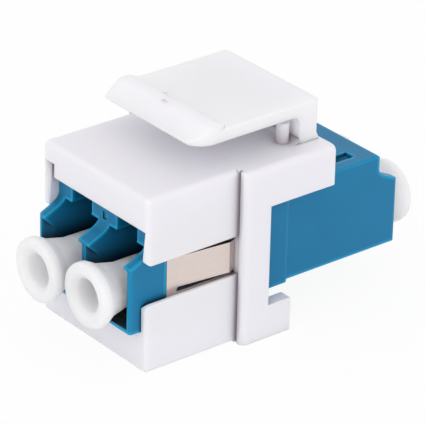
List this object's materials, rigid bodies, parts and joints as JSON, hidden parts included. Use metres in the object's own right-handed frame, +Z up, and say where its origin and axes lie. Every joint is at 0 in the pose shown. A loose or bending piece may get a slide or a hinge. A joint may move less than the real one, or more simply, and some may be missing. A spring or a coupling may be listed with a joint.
{
  "type": "lc fibre adapter",
  "caption": "Fibre adapter for LC plugs in a white clip-in keystone carrier, with a finger latch, spring clip and pull-out dust caps.",
  "frame": {"origin": "on the base, under the joint between the two adapter halves, midway across", "axes": "+X to the right seen from the front ports, +Y from the front ports to the rear ports, +Z up to the latch"},
  "size_m": [0.0164, 0.0342, 0.0203],
  "materials": {
    "carrier_plastic": "satin",
    "adapter_plastic": "satin",
    "clip_steel": "brushed",
    "sleeve_ceramic": "polished",
    "cap_plastic": "satin"
  },
  "bodies": {
    "carrier": {"keystone_housing": "carrier_plastic", "adapter_front_shell": "adapter_plastic", "adapter_rear_shell": "adapter_plastic", "retaining_clip": "clip_steel", "alignment_sleeve_left": "sleeve_ceramic", "alignment_sleeve_right": "sleeve_ceramic"},
    "latch": {"latch_arm": "carrier_plastic"},
    "cap_front_left": {"dust_cap_front_left": "cap_plastic"},
    "cap_front_right": {"dust_cap_front_right": "cap_plastic"},
    "cap_rear_left": {"dust_cap_rear_left": "cap_plastic"},
    "cap_rear_right": {"dust_cap_rear_right": "cap_plastic"}
  },
  "joints": [
    {"name": "latch_press", "type": "hinge", "parent": "carrier", "child": "latch", "pos_m": [0, 0.0045, 0.0162], "axis": [1, 0, 0], "range_deg": [0, 8], "stiffness_Nm_per_rad": 0.35},
    {"name": "cap_front_left_pull", "type": "slide", "parent": "carrier", "child": "cap_front_left", "axis": [0, -1, 0], "range_m": [0, 0.0125]},
    {"name": "cap_front_right_pull", "type": "slide", "parent": "carrier", "child": "cap_front_right", "axis": [0, -1, 0], "range_m": [0, 0.0125]},
    {"name": "cap_rear_left_pull", "type": "slide", "parent": "carrier", "child": "cap_rear_left", "axis": [0, 1, 0], "range_m": [0, 0.0125]},
    {"name": "cap_rear_right_pull", "type": "slide", "parent": "carrier", "child": "cap_rear_right", "axis": [0, 1, 0], "range_m": [0, 0.0125]}
  ]
}
